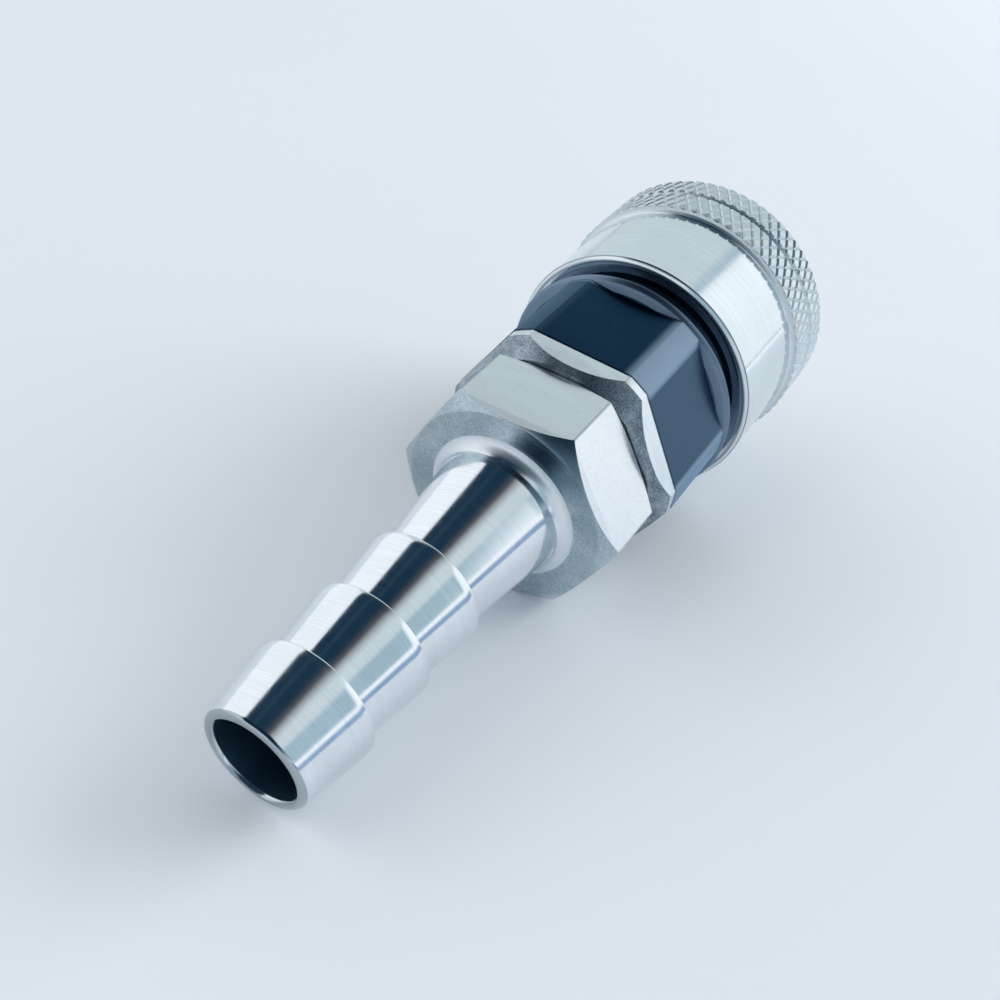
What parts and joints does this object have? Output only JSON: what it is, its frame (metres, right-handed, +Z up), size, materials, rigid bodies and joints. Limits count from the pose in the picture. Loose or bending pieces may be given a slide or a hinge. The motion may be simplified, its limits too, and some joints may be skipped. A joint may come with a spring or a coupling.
{
  "type": "air coupler socket",
  "caption": "Quick-connect air line socket with a ribbed hose tail, two spanner hexagons, a knurled locking sleeve and a spring-shut valve.",
  "frame": {"origin": "centre of the plug bore where its wall meets the lead-in bevel", "axes": "+X along the table towards the plug end, +Z up from the table that the coupler lies on; the bore's axis rises by the resting tilt of about 8 degrees"},
  "size_m": [0.0736, 0.0264, 0.0283],
  "materials": {
    "plated_barb": "bright plated, turned",
    "coated_body": "satin black coat, bare at the hose end and nose",
    "plated_sleeve": "satin plated, knurled",
    "plated_valve": "turned and plated",
    "seal_rubber": "matt",
    "spring_steel": "drawn wire",
    "ball_steel": "polished"
  },
  "bodies": {
    "socket": {"hose_barb": "plated_barb", "joint_o_ring": "seal_rubber", "socket_body": "coated_body", "valve_guide": "plated_valve", "seat_ring": "plated_valve", "packing": "seal_rubber", "sleeve_spring": "spring_steel", "valve_spring": "spring_steel"},
    "snap_ring": {"sleeve_ring": "spring_steel"},
    "sleeve": {"sleeve": "plated_sleeve"},
    "valve": {"valve": "plated_valve", "valve_o_ring": "seal_rubber"},
    "lock_ball_1": {"lock_ball_1": "ball_steel"},
    "lock_ball_2": {"lock_ball_2": "ball_steel"},
    "lock_ball_3": {"lock_ball_3": "ball_steel"},
    "lock_ball_4": {"lock_ball_4": "ball_steel"},
    "lock_ball_5": {"lock_ball_5": "ball_steel"},
    "lock_ball_6": {"lock_ball_6": "ball_steel"}
  },
  "joints": [
    {"name": "sleeve_slide", "type": "slide", "parent": "socket", "child": "snap_ring", "axis": [-0.9902, 0, -0.1395], "range_m": [0, 0.002], "stiffness_N_per_m": 2000, "springref_m": -0.004, "deforming": ["sleeve_spring"]},
    {"name": "sleeve_turn", "type": "hinge", "parent": "snap_ring", "child": "sleeve", "pos_m": [-0.01574, 0, -0.00222], "axis": [0.9902, 0, 0.1395], "continuous": true},
    {"name": "valve_slide", "type": "slide", "parent": "socket", "child": "valve", "axis": [-0.9902, 0, -0.1395], "range_m": [0, 0.004], "stiffness_N_per_m": 600, "springref_m": -0.004, "deforming": ["valve_spring"]},
    {"name": "ball_1_slide", "type": "slide", "parent": "socket", "child": "lock_ball_1", "axis": [-0.1395, 0, 0.9902], "range_m": [0, 0.001]},
    {"name": "ball_2_slide", "type": "slide", "parent": "socket", "child": "lock_ball_2", "axis": [-0.0698, -0.866, 0.4951], "range_m": [0, 0.001]},
    {"name": "ball_3_slide", "type": "slide", "parent": "socket", "child": "lock_ball_3", "axis": [0.0698, -0.866, -0.4951], "range_m": [0, 0.001]},
    {"name": "ball_4_slide", "type": "slide", "parent": "socket", "child": "lock_ball_4", "axis": [0.1395, 0, -0.9902], "range_m": [0, 0.001]},
    {"name": "ball_5_slide", "type": "slide", "parent": "socket", "child": "lock_ball_5", "axis": [0.0698, 0.866, -0.4951], "range_m": [0, 0.001]},
    {"name": "ball_6_slide", "type": "slide", "parent": "socket", "child": "lock_ball_6", "axis": [-0.0698, 0.866, 0.4951], "range_m": [0, 0.001]}
  ],
  "couplings": [
    {"joint": "ball_1_slide", "follows": "sleeve_slide", "ratio": 0.5},
    {"joint": "ball_2_slide", "follows": "sleeve_slide", "ratio": 0.5},
    {"joint": "ball_3_slide", "follows": "sleeve_slide", "ratio": 0.5},
    {"joint": "ball_4_slide", "follows": "sleeve_slide", "ratio": 0.5},
    {"joint": "ball_5_slide", "follows": "sleeve_slide", "ratio": 0.5},
    {"joint": "ball_6_slide", "follows": "sleeve_slide", "ratio": 0.5}
  ]
}
